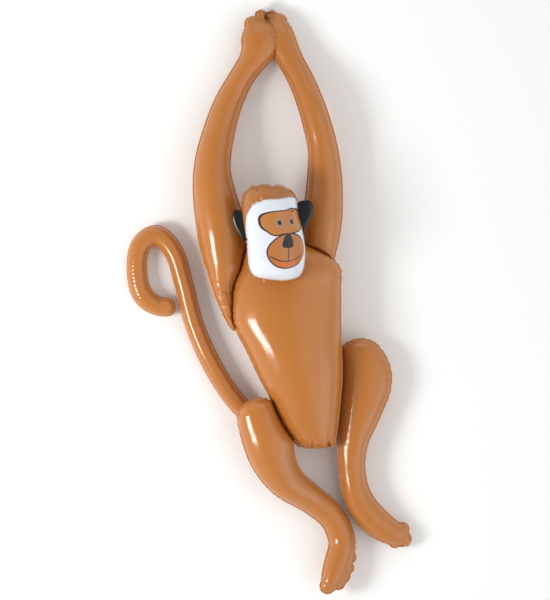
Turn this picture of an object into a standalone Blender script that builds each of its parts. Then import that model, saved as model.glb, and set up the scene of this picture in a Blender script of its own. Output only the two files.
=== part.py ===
"""An inflatable vinyl monkey, lying on its back with both arms reaching past its head.

Metres, +Z up. The face looks up, the hands lie towards +Y and the monkey's own left is +X.
The pose and the outline are in thousandths of the figure's length, as a maker's flat
pattern would give them. Depths, the tail, the ears and the fits have sizes of their own.
"""

import math

import bmesh
import bpy
import numpy as np
from mathutils import Matrix, Vector

# Driving dimensions, in metres
LENGTH = 0.900  # from the fingertips to the lower foot
TRUNK_DEPTH = 0.100  # through the blown-up chest, front to back
HEAD_DEPTH = 0.076  # through the cheeks, front to back
TAIL_DIAMETER = 0.032  # the tail's tube, which is round
EAR_THICKNESS = 0.004  # an ear is a flat double flap with no air in it
CROWN_RISE = 0.044  # how far the head's middle lies in front of the trunk's, at the crown
CHIN_RISE = 0.062  # the same at the chin, which rides up on the chest
EAR_DROP = 0.006  # how far an ear lies behind the middle of the head
REST_FLAT = 0.001  # how deep each place that lies on the ground is pressed flat
WELD_GAP = 0.0003  # left between two pieces where they are pressed together

SHARE = LENGTH / 1000  # one thousandth of the figure's length
TRUNK_MIDDLE = TRUNK_DEPTH / 2 - REST_FLAT
TAIL_TOP = TAIL_DIAMETER - REST_FLAT
TAIL_ROOT_LIFT = 0.62  # the heights of these roots, as shares of the trunk's middle height
LEFT_ROOT_LIFT = 0.84
DIGIT_FLATNESS = 0.92  # a finger's or toe's height against its width
SMOOTH_LIMIT = math.radians(40)  # edges sharper than this stay sharp when shaded
GROUND_BLOCK = 2 * LENGTH
TOWARDS_FEET = Vector((0, -1, 0))

# Each row is a place along a piece: x and y in thousandths of the length, how far it is
# lifted from the ground, 0, to the height of its root, 1, half its width and half its depth.
# The head's third value runs from the crown, 0, to the chin, 1, and the trunk has none.
# The trunk, the head and the tail give half their depth as a share of the size named above,
# and the tail its half width too.
TRUNK_ROWS = (
    (9, 97, 47, 0.60),
    (30, 74, 74, 0.76),
    (37, 51, 86, 0.88),
    (31, 25, 92, 0.96),
    (30, 2, 93.5, 1.0),
    (31, -46, 92.5, 1.0),
    (40, -77, 84.5, 0.98),
    (54, -133, 72, 0.88),
    (63, -172, 60, 0.76),
    (69, -209, 50, 0.60),
    (81, -247, 33, 0.34),
)
HEAD_ROWS = (
    (0, 196, 0, 42, 0.88),
    (0, 172, 0.14, 48, 0.98),
    (3, 136, 0.36, 50, 1.0),
    (10, 104, 0.56, 51, 1.0),
    (13, 76, 0.74, 50, 0.98),
    (10, 34, 1, 44, 0.90),
)
RIGHT_ARM_ROWS = (
    (-58, -52, 1, 8, 10),
    (-79, 19, 1, 19.5, 22),
    (-80, 66, 1, 33, 33),
    (-82, 110, 0.9, 39.5, 38),
    (-91, 165, 0.75, 38.5, 33),
    (-97, 214, 0.5, 33, 31),
    (-86, 286, 0.2, 27.7, 27.5),
    (-67, 345, 0.1, 24, 24),
    (-41, 391, 0.15, 22.5, 22),
    (-23, 432, 0.2, 27, 20),
    (-21, 460, 0.2, 24, 18),
    (-21, 489, 0.2, 19, 16),
)
LEFT_ARM_ROWS = (
    (86, 42, 1, 18, 17),
    (88, 87, 1, 29, 27),
    (91, 134, 1, 34, 32),
    (95, 192, 0.7, 31.5, 30),
    (92, 258, 0.3, 26, 26),
    (74, 324, 0, 24, 24),
    (52, 376, 0, 21.8, 21.4),
    (31, 418, 0, 24, 19),
    (22.5, 457, 0, 19, 18),
    (13, 491, 0, 16, 15),
)
RIGHT_LEG_ROWS = (
    (-36, -172, 1, 24, 23),
    (-21, -209, 1, 35, 32),
    (-1, -259, 0.9, 40, 34),
    (29, -308, 0.55, 33, 31),
    (76, -345, 0.15, 25, 24.5),
    (112, -378, 0, 23.5, 23),
    (126, -417, 0, 24, 22),
    (113, -464, 0, 22, 20),
    (100, -497, 0, 15, 14),
)
LEFT_LEG_ROWS = (
    (147, -71, 1, 30, 28),
    (162, -131, 1, 46, 40),
    (153, -192, 0.8, 38.3, 36.5),
    (143, -247, 0.4, 26.5, 27.5),
    (142, -294, 0.1, 23.5, 24),
    (154, -345, 0, 25, 23.5),
    (187, -385, 0, 25.5, 21.5),
    (216, -403, 0, 21.4, 19),
    (234, -408, 0, 17, 15),
)
TAIL_ROWS = (
    (36, -228, 1, 0.9, 0.9),
    (-9, -217, 0.3, 0.95, 0.95),
    (-46, -187, 0, 1, 1),
    (-93, -118, 0, 1.02, 1),
    (-128, -44, 0, 1, 1),
    (-148, 30, 0, 1, 1),
    (-168, 88, 0, 1.1, 1),
    (-194, 109, 0, 1.1, 1),
    (-218, 94, 0, 1.06, 1),
    (-224, 56, 0, 1.04, 1),
    (-211, 8, 0, 1.04, 1),
    (-186, -9, 0, 0.94, 0.94),
    (-160.5, -10, 0, 0.92, 0.92),
)

# Fingers and toes: x and y of the middle of each, and its radius
RIGHT_FINGERS = ((-32, 470, 11), (-15, 487, 12), (-12, 468, 12))
LEFT_FINGERS = ((4, 488, 11), (15, 484, 11.5), (23, 467, 10.5))
RIGHT_TOES = ((139, -443, 9), (135, -460, 9.5), (128, -475, 9.5), (119, -487, 9.5), (100, -491, 12))
LEFT_TOES = ((229, -395, 11), (232, -412, 12), (216, -417, 9))

# Ears: the flap's outline, in thousandths of the length
RIGHT_EAR_OUTLINE = ((-62, 150), (-56, 155), (-46, 153), (-34, 138), (-38, 108), (-43, 99), (-55, 118), (-62, 136))
LEFT_EAR_OUTLINE = ((44, 166), (59, 172), (70, 171), (75, 161), (73, 147), (68, 136), (59, 121), (46, 118))

# How finely the rounded forms are faceted
LIMB_SIDES = 16
HEAD_SIDES = 24
TRUNK_SIDES = 28
TAIL_SIDES = 12
LIMB_STEP = 24 * SHARE
TAIL_STEP = 13 * SHARE
CAP_ANGLES = (12, 38, 64)

VINYL_BROWN = ((0.565, 0.205, 0.050, 1.0), 0.16)
VINYL_WHITE = ((0.900, 0.900, 0.930, 1.0), 0.16)
VINYL_BLACK = ((0.012, 0.013, 0.015, 1.0), 0.22)


def clear_scene():
    for item in list(bpy.data.objects):
        bpy.data.objects.remove(item, do_unlink=True)


def new_collection(name):
    collection = bpy.data.collections.new(name)
    bpy.context.scene.collection.children.link(collection)
    return collection


def vinyl(name, look):
    """Calendered PVC film of one colour, with its roughness."""
    colour, roughness = look
    material = bpy.data.materials.new(name)
    material.use_nodes = True
    shader = material.node_tree.nodes["Principled BSDF"]
    shader.inputs["Base Color"].default_value = colour
    shader.inputs["Roughness"].default_value = roughness
    shader.inputs["Metallic"].default_value = 0.0
    material.diffuse_color = colour
    return material


def limb_places(rows, root_height):
    """Rows of a limb in metres, from lying on the ground up to the height of its root."""
    places = []
    for x, y, lifted, half_width, half_depth in rows:
        lying_height = half_depth * SHARE - REST_FLAT
        height = lifted * root_height + (1 - lifted) * lying_height
        places.append((x * SHARE, y * SHARE, height, half_width * SHARE, half_depth * SHARE))
    return np.array(places)


def trunk_places():
    """The trunk lies level, with its side seams at half its depth."""
    half = TRUNK_DEPTH / 2
    return np.array([(x * SHARE, y * SHARE, TRUNK_MIDDLE, wide * SHARE, deep * half)
                     for x, y, wide, deep in TRUNK_ROWS])


def head_places():
    """The head's middle plane tips forward from the crown to the chin."""
    half = HEAD_DEPTH / 2
    places = []
    for x, y, towards_chin, wide, deep in HEAD_ROWS:
        height = TRUNK_MIDDLE + CROWN_RISE + towards_chin * (CHIN_RISE - CROWN_RISE)
        places.append((x * SHARE, y * SHARE, height, wide * SHARE, deep * half))
    return np.array(places)


def tail_places():
    """The tail lies on the ground and climbs a little to the small of the back."""
    radius = TAIL_DIAMETER / 2
    root_height = TAIL_ROOT_LIFT * TRUNK_MIDDLE
    places = []
    for x, y, lifted, wide, deep in TAIL_ROWS:
        height = lifted * root_height + (1 - lifted) * (deep * radius - REST_FLAT)
        places.append((x * SHARE, y * SHARE, height, wide * radius, deep * radius))
    return np.array(places)


def carried(places, distances):
    """The places read from one smooth curve, at each distance along it."""
    steps = np.linalg.norm(np.diff(places[:, :3], axis=0), axis=1)
    knots = np.concatenate(([0.0], np.cumsum(steps)))
    slopes = np.gradient(places, knots, axis=0)
    first = np.clip(np.searchsorted(knots, distances) - 1, 0, len(knots) - 2)
    span = (knots[first + 1] - knots[first])[:, None]
    u = (distances - knots[first])[:, None] / span
    return ((2 * u**3 - 3 * u**2 + 1) * places[first]
            + (u**3 - 2 * u**2 + u) * span * slopes[first]
            + (3 * u**2 - 2 * u**3) * places[first + 1]
            + (u**3 - u**2) * span * slopes[first + 1])


def curve_length(places):
    return float(np.linalg.norm(np.diff(places[:, :3], axis=0), axis=1).sum())


def stations(places, spacing, start_cap, end_cap):
    """Distances along a bag, how open it is at each, and what its end keeps when closed."""
    total = curve_length(places)
    start_radius = start_cap[0]
    end_radius = end_cap[0]
    rows = []
    for angle in CAP_ANGLES:
        turn = math.radians(angle)
        rows.append((start_radius * (1 - math.cos(turn)), math.sin(turn), start_cap[1:]))
    count = max(3, round((total - start_radius - end_radius) / spacing))
    for step in range(count + 1):
        distance = start_radius + (total - start_radius - end_radius) * step / count
        rows.append((distance, 1.0, (1.0, 1.0)))
    for angle in reversed(CAP_ANGLES):
        turn = math.radians(angle)
        rows.append((total - end_radius * (1 - math.cos(turn)), math.sin(turn), end_cap[1:]))
    return rows


def bag_mesh(name, places, spacing, start_cap, end_cap, sides, grow=0.0, facing=None):
    """A blown-up bag: oval sections along a curve, closed by rounded ends.

    A cap is its radius and the shares of width and depth that are left at its very end.
    Its sections are square to the curve, or all of them to one direction that it faces.
    """
    rows = stations(places, spacing, start_cap, end_cap)
    distances = np.array([row[0] for row in rows])
    along = carried(places, distances)
    look = spacing / 12
    ahead = carried(places, distances + look)[:, :3]
    behind = carried(places, distances - look)[:, :3]
    mesh = bmesh.new()
    rings = []
    for index, (_, opened, kept) in enumerate(rows):
        direction = facing or Vector(ahead[index] - behind[index]).normalized()
        side = direction.cross(Vector((0, 0, 1))).normalized()
        front = side.cross(direction)
        centre = Vector(along[index, :3])
        half_width = along[index, 3] * (kept[0] + (1 - kept[0]) * opened)
        half_depth = along[index, 4] * (kept[1] + (1 - kept[1]) * opened)
        ring = []
        for corner in range(sides):
            turn = 2 * math.pi * corner / sides
            offset = side * half_width * math.cos(turn) + front * half_depth * math.sin(turn)
            ring.append(mesh.verts.new(centre + offset))
        rings.append(ring)
    for first, second in zip(rings, rings[1:]):
        for corner in range(sides):
            after = (corner + 1) % sides
            mesh.faces.new((first[corner], first[after], second[after], second[corner]))
    mesh.faces.new(rings[0])
    mesh.faces.new(rings[-1])
    bmesh.ops.recalc_face_normals(mesh, faces=mesh.faces)
    # The same diagonals in a piece and in its grown copy keep the gap between them even
    bmesh.ops.triangulate(mesh, faces=mesh.faces, quad_method="FIXED")
    mesh.normal_update()
    offsets = [vertex.normal * grow * vertex.calc_shell_factor() for vertex in mesh.verts]
    for vertex, offset in zip(mesh.verts, offsets):
        vertex.co += offset
    data = bpy.data.meshes.new(name)
    mesh.to_mesh(data)
    mesh.free()
    return data


def place_object(name, data, collection, material=None):
    item = bpy.data.objects.new(name, data)
    collection.objects.link(item)
    if material:
        data.materials.clear()
        data.materials.append(material)
        data.shade_smooth()
        data.set_sharp_from_angle(angle=SMOOTH_LIMIT)
    else:
        item.hide_render = True
        item.display_type = "WIRE"
    return item


def boolean(item, other, operation):
    """Cut or join, with the result kept as the item's own mesh."""
    modifier = item.modifiers.new(operation.title(), "BOOLEAN")
    modifier.operation = operation
    modifier.object = other
    modifier.solver = "EXACT"
    view = bpy.context.evaluated_depsgraph_get()
    done = bpy.data.meshes.new_from_object(item.evaluated_get(view))
    item.modifiers.remove(modifier)
    item.data = done


def add_digits(item, digits, heights, collection):
    """Fingers or toes: short round lobes at the edge of a hand or foot."""
    for number, (x, y, radius) in enumerate(digits):
        bulb = bmesh.new()
        bmesh.ops.create_uvsphere(bulb, u_segments=12, v_segments=7, radius=radius * SHARE)
        height = heights(x * SHARE, y * SHARE)
        stretch = Matrix.Diagonal((1.0, 1.0, DIGIT_FLATNESS, 1.0))
        bulb.transform(Matrix.Translation((x * SHARE, y * SHARE, height)) @ stretch)
        data = bpy.data.meshes.new(f"{item.name}_digit_{number}")
        bulb.to_mesh(data)
        bulb.free()
        lobe = place_object(data.name, data, collection)
        boolean(item, lobe, "UNION")


def nearest_height(places):
    """Gives the height of a limb's middle at the place nearest to a point."""
    total = curve_length(places)
    line = carried(places, np.linspace(0, total, 60))

    def height(x, y):
        gaps = (line[:, 0] - x) ** 2 + (line[:, 1] - y) ** 2
        return float(line[int(np.argmin(gaps)), 2])

    return height


def ear_mesh(name, outline, middle):
    """A flat flap, cut from a smooth closed outline and as thick as two films and a weld."""
    curve = bpy.data.curves.new(name + "_outline", "CURVE")
    curve.dimensions = "2D"
    curve.fill_mode = "BOTH"
    curve.extrude = EAR_THICKNESS / 2
    curve.resolution_u = 4
    line = curve.splines.new("NURBS")
    line.points.add(len(outline) - 1)
    for point, (x, y) in zip(line.points, outline):
        point.co = (x * SHARE, y * SHARE, 0, 1)
    line.use_cyclic_u = True
    line.order_u = 3
    guide = bpy.data.objects.new(name + "_guide", curve)
    bpy.context.scene.collection.objects.link(guide)
    guide.location.z = middle
    bpy.context.view_layer.update()
    view = bpy.context.evaluated_depsgraph_get()
    data = bpy.data.meshes.new_from_object(guide.evaluated_get(view))
    data.transform(guide.matrix_world)
    bpy.data.objects.remove(guide, do_unlink=True)
    body = bmesh.new()
    body.from_mesh(data)
    bmesh.ops.remove_doubles(body, verts=body.verts, dist=0.00005)
    bmesh.ops.recalc_face_normals(body, faces=body.faces)
    body.to_mesh(data)
    body.free()
    return data


def ground_block(collection):
    """Everything below the ground, which presses the resting places flat."""
    block = bmesh.new()
    bmesh.ops.create_cube(block, size=GROUND_BLOCK)
    bmesh.ops.translate(block, verts=block.verts, vec=(0, 0, -GROUND_BLOCK / 2))
    data = bpy.data.meshes.new("ground")
    block.to_mesh(data)
    block.free()
    return place_object("ground", data, collection)


def build():
    clear_scene()
    figure = new_collection("inflatable_monkey")
    cutters = new_collection("cutters")
    brown = vinyl("brown_vinyl", VINYL_BROWN)
    white = vinyl("white_vinyl", VINYL_WHITE)
    black = vinyl("black_vinyl", VINYL_BLACK)
    ground = ground_block(cutters)

    # Caps: radius, then the share of width and of depth left at the very end
    hand_cap = (16 * SHARE, 0.15, 0.15)
    foot_cap = (13 * SHARE, 0.15, 0.15)
    root_cap = (16 * SHARE, 0.3, 0.3)
    hip_cap = (22 * SHARE, 0.2, 0.2)
    shoulder_cap = (22 * SHARE, 0.92, 0.06)
    seat_cap = (16 * SHARE, 0.96, 0.1)
    head_cap = (22 * SHARE, 0.6, 0.12)
    tail_cap = (0.8 * TAIL_DIAMETER / 2, 0.15, 0.15)

    right_hip_height = TAIL_TOP + RIGHT_LEG_ROWS[1][4] * SHARE
    left_root_height = LEFT_ROOT_LIFT * TRUNK_MIDDLE
    trunk_line = trunk_places()
    head_line = head_places()
    tail_line = tail_places()
    right_arm_line = limb_places(RIGHT_ARM_ROWS, TRUNK_MIDDLE)
    left_arm_line = limb_places(LEFT_ARM_ROWS, left_root_height)
    right_leg_line = limb_places(RIGHT_LEG_ROWS, right_hip_height)
    left_leg_line = limb_places(LEFT_LEG_ROWS, left_root_height)

    def limb(name, line, start_cap, end_cap, sides, step, grow=0.0):
        return bag_mesh(name, line, step, start_cap, end_cap, sides, grow)

    def trunk_bag(name, grow=0.0):
        return bag_mesh(name, trunk_line, LIMB_STEP, shoulder_cap, seat_cap, TRUNK_SIDES, grow, TOWARDS_FEET)

    # The trunk, and a copy grown by the weld gap that seats every piece against it
    trunk = place_object("trunk", trunk_bag("trunk"), figure, brown)
    trunk_seat = place_object("trunk_seat", trunk_bag("trunk_seat", WELD_GAP), cutters)
    boolean(trunk, ground, "DIFFERENCE")

    # The head rides up on the chest
    head = place_object("head", limb("head", head_line, head_cap, head_cap, HEAD_SIDES, LIMB_STEP), figure, white)
    head_seat_mesh = limb("head_seat", head_line, head_cap, head_cap, HEAD_SIDES, LIMB_STEP, WELD_GAP)
    head_seat = place_object("head_seat", head_seat_mesh, cutters)
    boolean(head, trunk_seat, "DIFFERENCE")

    # The tail passes under the right thigh and is welded to the small of the back
    tail = place_object("tail", limb("tail", tail_line, tail_cap, tail_cap, TAIL_SIDES, TAIL_STEP), figure, brown)
    tail_seat_mesh = limb("tail_seat", tail_line, tail_cap, tail_cap, TAIL_SIDES, TAIL_STEP, WELD_GAP)
    tail_seat = place_object("tail_seat", tail_seat_mesh, cutters)
    boolean(tail, trunk_seat, "DIFFERENCE")
    boolean(tail, ground, "DIFFERENCE")

    # The arms: the right hand lies over the left one
    right_arm_mesh = limb("right_arm", right_arm_line, root_cap, hand_cap, LIMB_SIDES, LIMB_STEP)
    right_arm = place_object("right_arm", right_arm_mesh, figure, brown)
    add_digits(right_arm, RIGHT_FINGERS, nearest_height(right_arm_line), cutters)
    hand_seat_mesh = limb("hand_seat", right_arm_line, root_cap, hand_cap, LIMB_SIDES, LIMB_STEP, WELD_GAP)
    hand_seat = place_object("hand_seat", hand_seat_mesh, cutters)
    grown_fingers = [(x, y, radius + WELD_GAP / SHARE) for x, y, radius in RIGHT_FINGERS]
    add_digits(hand_seat, grown_fingers, nearest_height(right_arm_line), cutters)
    boolean(right_arm, trunk_seat, "DIFFERENCE")
    boolean(right_arm, ground, "DIFFERENCE")
    left_arm_mesh = limb("left_arm", left_arm_line, root_cap, hand_cap, LIMB_SIDES, LIMB_STEP)
    left_arm = place_object("left_arm", left_arm_mesh, figure, brown)
    add_digits(left_arm, LEFT_FINGERS, nearest_height(left_arm_line), cutters)
    boolean(left_arm, trunk_seat, "DIFFERENCE")
    boolean(left_arm, hand_seat, "DIFFERENCE")
    boolean(left_arm, ground, "DIFFERENCE")

    # The legs: the right thigh lies on the tail
    right_leg_mesh = limb("right_leg", right_leg_line, hip_cap, foot_cap, LIMB_SIDES, LIMB_STEP)
    right_leg = place_object("right_leg", right_leg_mesh, figure, brown)
    add_digits(right_leg, RIGHT_TOES, nearest_height(right_leg_line), cutters)
    boolean(right_leg, trunk_seat, "DIFFERENCE")
    boolean(right_leg, tail_seat, "DIFFERENCE")
    boolean(right_leg, ground, "DIFFERENCE")
    left_leg_mesh = limb("left_leg", left_leg_line, hip_cap, foot_cap, LIMB_SIDES, LIMB_STEP)
    left_leg = place_object("left_leg", left_leg_mesh, figure, brown)
    add_digits(left_leg, LEFT_TOES, nearest_height(left_leg_line), cutters)
    boolean(left_leg, trunk_seat, "DIFFERENCE")
    boolean(left_leg, ground, "DIFFERENCE")

    # The ears are held in the side seams of the head
    ear_height = TRUNK_MIDDLE + CROWN_RISE - EAR_DROP + 0.3 * (CHIN_RISE - CROWN_RISE)
    for name, outline in (("right_ear", RIGHT_EAR_OUTLINE), ("left_ear", LEFT_EAR_OUTLINE)):
        ear = place_object(name, ear_mesh(name, outline, ear_height), figure, black)
        boolean(ear, head_seat, "DIFFERENCE")

    # The whole figure is set down with its bounding box centred on the origin
    low = Vector((math.inf, math.inf, 0))
    high = Vector((-math.inf, -math.inf, 0))
    for item in figure.objects:
        for vertex in item.data.vertices:
            low.x = min(low.x, vertex.co.x)
            low.y = min(low.y, vertex.co.y)
            high.x = max(high.x, vertex.co.x)
            high.y = max(high.y, vertex.co.y)
    centre = (low + high) / 2
    root = bpy.data.objects.new("monkey_origin", None)
    figure.objects.link(root)
    root.location = (-centre.x, -centre.y, 0)
    for item in list(figure.objects) + list(cutters.objects):
        if item is not root:
            item.parent = root


build()
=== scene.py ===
import math

import bpy
import numpy as np
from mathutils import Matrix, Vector
from mathutils.bvhtree import BVHTree
from mathutils.kdtree import KDTree


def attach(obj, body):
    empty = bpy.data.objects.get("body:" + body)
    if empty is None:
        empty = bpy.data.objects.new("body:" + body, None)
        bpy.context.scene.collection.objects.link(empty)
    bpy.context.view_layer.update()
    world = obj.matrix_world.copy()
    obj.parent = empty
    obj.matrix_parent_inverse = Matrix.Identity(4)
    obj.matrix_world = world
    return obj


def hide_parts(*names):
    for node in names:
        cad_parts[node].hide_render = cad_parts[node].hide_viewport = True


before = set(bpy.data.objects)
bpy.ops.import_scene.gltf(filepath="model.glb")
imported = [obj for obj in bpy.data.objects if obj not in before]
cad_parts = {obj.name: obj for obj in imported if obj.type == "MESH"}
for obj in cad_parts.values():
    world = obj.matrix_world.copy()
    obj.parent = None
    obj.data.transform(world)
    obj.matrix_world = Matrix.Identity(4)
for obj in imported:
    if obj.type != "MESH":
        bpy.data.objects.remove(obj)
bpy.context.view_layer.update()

# Studio
# The toy lies on its back on white card under a camera that looks straight down. A softbox
# on the viewer's left draws the long highlights, and two panels and a pale sky fill the rest.
def linear(text, alpha=1.0):
    """An sRGB hex colour as the linear values that shaders take."""
    parts = [int(text[i:i + 2], 16) / 255 for i in (1, 3, 5)]
    return tuple(p / 12.92 if p <= 0.04045 else ((p + 0.055) / 1.055) ** 2.4 for p in parts) + (alpha,)


def add(tree, kind, links=(), **settings):
    """Adds a node with its settings, and feeds its inputs with numbers, colours or sockets."""
    made = tree.nodes.new(kind)
    for name, value in settings.items():
        setattr(made, name, value)
    pairs = links.items() if isinstance(links, dict) else enumerate(links)
    for key, value in pairs:
        if isinstance(value, bpy.types.NodeSocket):
            tree.links.new(value, made.inputs[key])
        else:
            made.inputs[key].default_value = value
    return made


# Satin white card, which keeps only a soft shadow
card = bpy.data.materials.new("satin_white_card")
card.use_nodes = True
card_shader = card.node_tree.nodes["Principled BSDF"]
card_place = add(card.node_tree, "ShaderNodeTexCoord")
card_noise = add(card.node_tree, "ShaderNodeTexNoise", {"Vector": card_place.outputs["Object"], "Scale": 3.0})
card_tone = add(card.node_tree, "ShaderNodeMix", {"Factor": card_noise.outputs["Fac"]}, data_type="RGBA")
card_tone.inputs["A"].default_value = linear("#F7F8F6")
card_tone.inputs["B"].default_value = linear("#F9F9F8")
card.node_tree.links.new(card_tone.outputs["Result"], card_shader.inputs["Base Color"])
card_shader.inputs["Roughness"].default_value = 0.7
card_shader.inputs["IOR"].default_value = 1.4

FLOOR_POINTS = 11  # along each side of the card
floor_steps = np.linspace(-2.5, 2.5, FLOOR_POINTS)
floor_points = [(x, y, 0.0) for y in floor_steps for x in floor_steps]
floor_corners = [row * FLOOR_POINTS + column
                 for row in range(FLOOR_POINTS - 1) for column in range(FLOOR_POINTS - 1)]
floor_faces = [(n, n + 1, n + FLOOR_POINTS + 1, n + FLOOR_POINTS) for n in floor_corners]
floor_mesh = bpy.data.meshes.new("floor")
floor_mesh.from_pydata(floor_points, [], floor_faces)
floor_mesh.materials.append(card)
floor = bpy.data.objects.new("floor", floor_mesh)
floor.location.z = -0.0004  # just under the film, so that the two share no plane
bpy.context.scene.collection.objects.link(floor)

# The camera's place, and the height of what it takes in at one distance from it, in metres
CAMERA_X = 0.0089
CAMERA_Y = 0.0006
CAMERA_HEIGHT = 6.0
PICTURE_DISTANCE = 5.93
PICTURE_HEIGHT = 0.9184
SENSOR_HEIGHT = 36.0  # in millimetres
camera_data = bpy.data.cameras.new("camera")
camera_data.sensor_fit = "VERTICAL"
camera_data.sensor_height = SENSOR_HEIGHT
camera_data.lens = SENSOR_HEIGHT * PICTURE_DISTANCE / PICTURE_HEIGHT
camera_data.clip_end = 30.0
camera = bpy.data.objects.new("camera", camera_data)
camera.location = (CAMERA_X, CAMERA_Y, CAMERA_HEIGHT)
bpy.context.scene.collection.objects.link(camera)
bpy.context.scene.camera = camera
bpy.context.scene.view_settings.view_transform = "Standard"

# A white sky, dimmer overhead than low down, with one soft bright patch high on the right
world = bpy.data.worlds.new("studio")
world.use_nodes = True
sky = world.node_tree
sky_direction = add(sky, "ShaderNodeTexCoord").outputs["Generated"]
sky_up = add(sky, "ShaderNodeSeparateXYZ", [sky_direction]).outputs["Z"]
sky_dim = add(sky, "ShaderNodeMapRange", [sky_up, 0.40, 0.93, 0.90, 0.30])
sky_right = add(sky, "ShaderNodeVectorMath", [sky_direction, (0.64, -0.10, 0.76)], operation="DOT_PRODUCT")
sky_patch = add(sky, "ShaderNodeMapRange", [sky_right.outputs["Value"], 0.72, 0.98, 0.0, 0.75],
                interpolation_type="SMOOTHSTEP")
sky_light = add(sky, "ShaderNodeMath", [sky_dim.outputs["Result"], sky_patch.outputs["Result"]])
sky_background = sky.nodes["Background"]
sky.links.new(sky_light.outputs["Value"], sky_background.inputs["Strength"])
sky_background.inputs["Color"].default_value = linear("#FFFFFF")
bpy.context.scene.world = world

# Name, degrees from the zenith, degrees round from +X, then distance, length and breadth in
# metres, and power in watts
LAMPS = (
    ("softbox_left", 50, 195.5, 1.8, 0.56, 0.54, 20.0),
    ("panel_right", 62, -25, 3.2, 2.6, 2.0, 8.0),
    ("panel_head", 60, 85, 3.4, 2.8, 1.4, 8.0),
)
for lamp_name, from_zenith, azimuth, distance, length, breadth, power in LAMPS:
    lamp_data = bpy.data.lights.new(lamp_name, "AREA")
    lamp_data.shape = "RECTANGLE"
    lamp_data.size = length
    lamp_data.size_y = breadth
    lamp_data.energy = power
    lamp = bpy.data.objects.new(lamp_name, lamp_data)
    tilt, turn = math.radians(from_zenith), math.radians(azimuth)
    outward_from = Vector((math.sin(tilt) * math.cos(turn), math.sin(tilt) * math.sin(turn), math.cos(tilt)))
    lamp.location = outward_from * distance
    lamp.rotation_euler = outward_from.to_track_quat("Z", "Y").to_euler()
    bpy.context.scene.collection.objects.link(lamp)

# Trunk
# A blown-up bag of two panels of 0.2 mm tan PVC film, welded along their outline, which stands
# out as a thin flat rim. Air pressure draws the film into puckers wherever the weld curves.
SHARE = 0.0009  # one thousandth of the figure's length, in metres
TRUNK_MIDDLE = 0.049  # the height of the trunk's weld above the ground
TRUNK_HALF_DEPTH = 0.050
SHIFT = np.array([-0.000445, 0.001789, 0.0])  # brings the figure over its solids
GAP = 0.0003  # left between pieces that touch
HIDDEN = 0.004  # film deeper than this inside the piece that it is welded to is left out
RIM = 0.0018  # how far the weld stands out round the trunk and the limbs
RIM_THICKNESS = 0.0006
PIXELS_A_METRE = 653.3  # in a picture 600 pixels high, at the picture's distance
MM_A_PIXEL = 1.53


def smooth_path(places, spread):
    """One smooth curve through a piece's rows, read each millimetre: place, half width, half depth."""
    steps = np.linalg.norm(np.diff(places[:, :3], axis=0), axis=1)
    knots = np.concatenate(([0.0], np.cumsum(steps)))
    slopes = np.gradient(places, knots, axis=0)
    at = np.linspace(0.0, knots[-1], int(knots[-1] / 0.001) + 1)
    first = np.clip(np.searchsorted(knots, at) - 1, 0, len(knots) - 2)
    span = (knots[first + 1] - knots[first])[:, None]
    u = (at - knots[first])[:, None] / span
    curve = ((2 * u**3 - 3 * u**2 + 1) * places[first] + (u**3 - 2 * u**2 + u) * span * slopes[first]
             + (3 * u**2 - 2 * u**3) * places[first + 1] + (u**3 - u**2) * span * slopes[first + 1])
    margin = int(3 * spread / 0.001)
    before = 2 * curve[0] - curve[margin:0:-1]
    after = 2 * curve[-1] - curve[-2:-margin - 2:-1]
    padded = np.vstack((before, curve, after))
    weights = np.exp(-0.5 * (np.arange(-margin, margin + 1) * 0.001 / spread) ** 2)
    weights /= weights.sum()
    return at, np.stack([np.convolve(padded[:, k], weights, "valid") for k in range(5)], axis=1)


def unit(vectors):
    """The vectors, each brought to length one."""
    return vectors / np.maximum(np.linalg.norm(vectors, axis=-1, keepdims=True), 1e-12)


def bag(places, step, start_cap, end_cap, sides, rim, facing=None, spread=0.008):
    """Rings of points of a blown-up bag, and at each ring its side and front directions and its
    half width and half depth. A cap is its length and the shares of both that are left at its end."""
    at, curve = smooth_path(places, spread)
    total = at[-1]
    turns = np.radians(np.concatenate((np.linspace(1.0, 12.0, 6), np.linspace(16.0, 85.0, 16))))
    closing = np.sin(np.minimum(turns / math.radians(12.0), 1.0) * math.pi / 2)
    scales = [np.stack([(cap[k] + (1 - cap[k]) * np.sin(turns)) * closing for k in (1, 2)], axis=1)
              for cap in (start_cap, end_cap)]
    inner = np.linspace(start_cap[0], total - end_cap[0], int((total - start_cap[0] - end_cap[0]) / step))
    where = np.concatenate((start_cap[0] * (1 - np.cos(turns)), inner,
                            total - end_cap[0] * (1 - np.cos(turns[::-1]))))
    scale = np.vstack((scales[0], np.ones((len(inner), 2)), scales[1][::-1]))
    line = np.stack([np.interp(where, at, curve[:, k]) for k in range(5)], axis=1)
    heading = np.gradient(curve[:, :3], axis=0)
    direction = unit(np.stack([np.interp(where, at, heading[:, k]) for k in range(3)], axis=1))
    if facing is not None:
        direction = np.tile(facing, (len(where), 1))
    side = unit(np.cross(direction, (0.0, 0.0, 1.0)))
    front = np.cross(side, direction)
    wide = (line[:, 3] - rim) * scale[:, 0]
    deep = line[:, 4] * scale[:, 1]
    theta = np.arange(sides) * 2 * math.pi / sides
    grid = (line[:, None, :3] + side[:, None] * (wide[:, None] * np.cos(theta))[..., None]
            + front[:, None] * (deep[:, None] * np.sin(theta))[..., None])
    return grid, side, front, wide, deep


def in_photo(grid):
    """Where the camera sees each place, in pixels across and down a picture of 550 by 600."""
    scale = PIXELS_A_METRE * PICTURE_DISTANCE / (CAMERA_HEIGHT - grid[..., 2])
    across = 275 + (grid[..., 0] + SHIFT[0] - CAMERA_X) * scale
    down = 300 - (grid[..., 1] + SHIFT[1] - CAMERA_Y) * scale
    return across, down


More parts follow.
